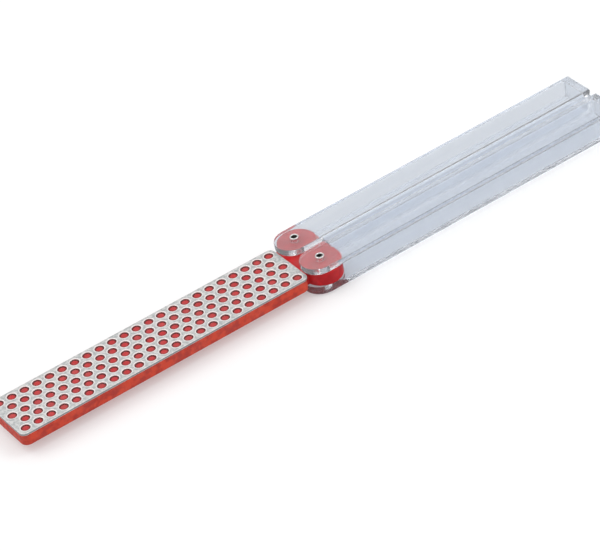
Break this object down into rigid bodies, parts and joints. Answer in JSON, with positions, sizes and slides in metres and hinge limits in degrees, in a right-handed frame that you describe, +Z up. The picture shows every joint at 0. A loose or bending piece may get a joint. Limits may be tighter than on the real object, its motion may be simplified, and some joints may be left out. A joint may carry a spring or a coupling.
{
  "type": "folding diamond edge sharpener",
  "caption": "Folding diamond hone for ski and snowboard edges: a perforated abrasive plate on a moulded base, with clear channel handles that fold over it.",
  "frame": {"origin": "centre of the unfolded tool's outer box, on the plane of the rivets' lower rims", "axes": "+X from the hone's tip to the handles' closed ends, +Y towards the far handle's side, +Z up out of the abrasive face"},
  "size_m": [0.2382, 0.0274, 0.0119],
  "materials": {
    "base_plastic": "moulded red plastic with a fine matte grain",
    "diamond_steel": "nickel-bonded diamond grit on sheet steel, matte and finely sparkling",
    "clear_plastic": "polished clear plastic with a faint cool tint",
    "rivet_metal": "bright nickel plating"
  },
  "bodies": {
    "hone": {"hone_base": "base_plastic", "diamond_plate": "diamond_steel"},
    "far_handle": {"far_handle": "clear_plastic", "far_rivet": "rivet_metal"},
    "near_handle": {"near_handle": "clear_plastic", "near_rivet": "rivet_metal"}
  },
  "joints": [
    {"name": "far_handle_fold", "type": "hinge", "parent": "hone", "child": "far_handle", "pos_m": [-0.00128, 0.0073, 0.00592], "axis": [0, 0, 1], "range_deg": [0, 180]},
    {"name": "near_handle_fold", "type": "hinge", "parent": "hone", "child": "near_handle", "pos_m": [-0.00128, -0.0073, 0.00592], "axis": [0, 0, -1], "range_deg": [0, 180]}
  ]
}
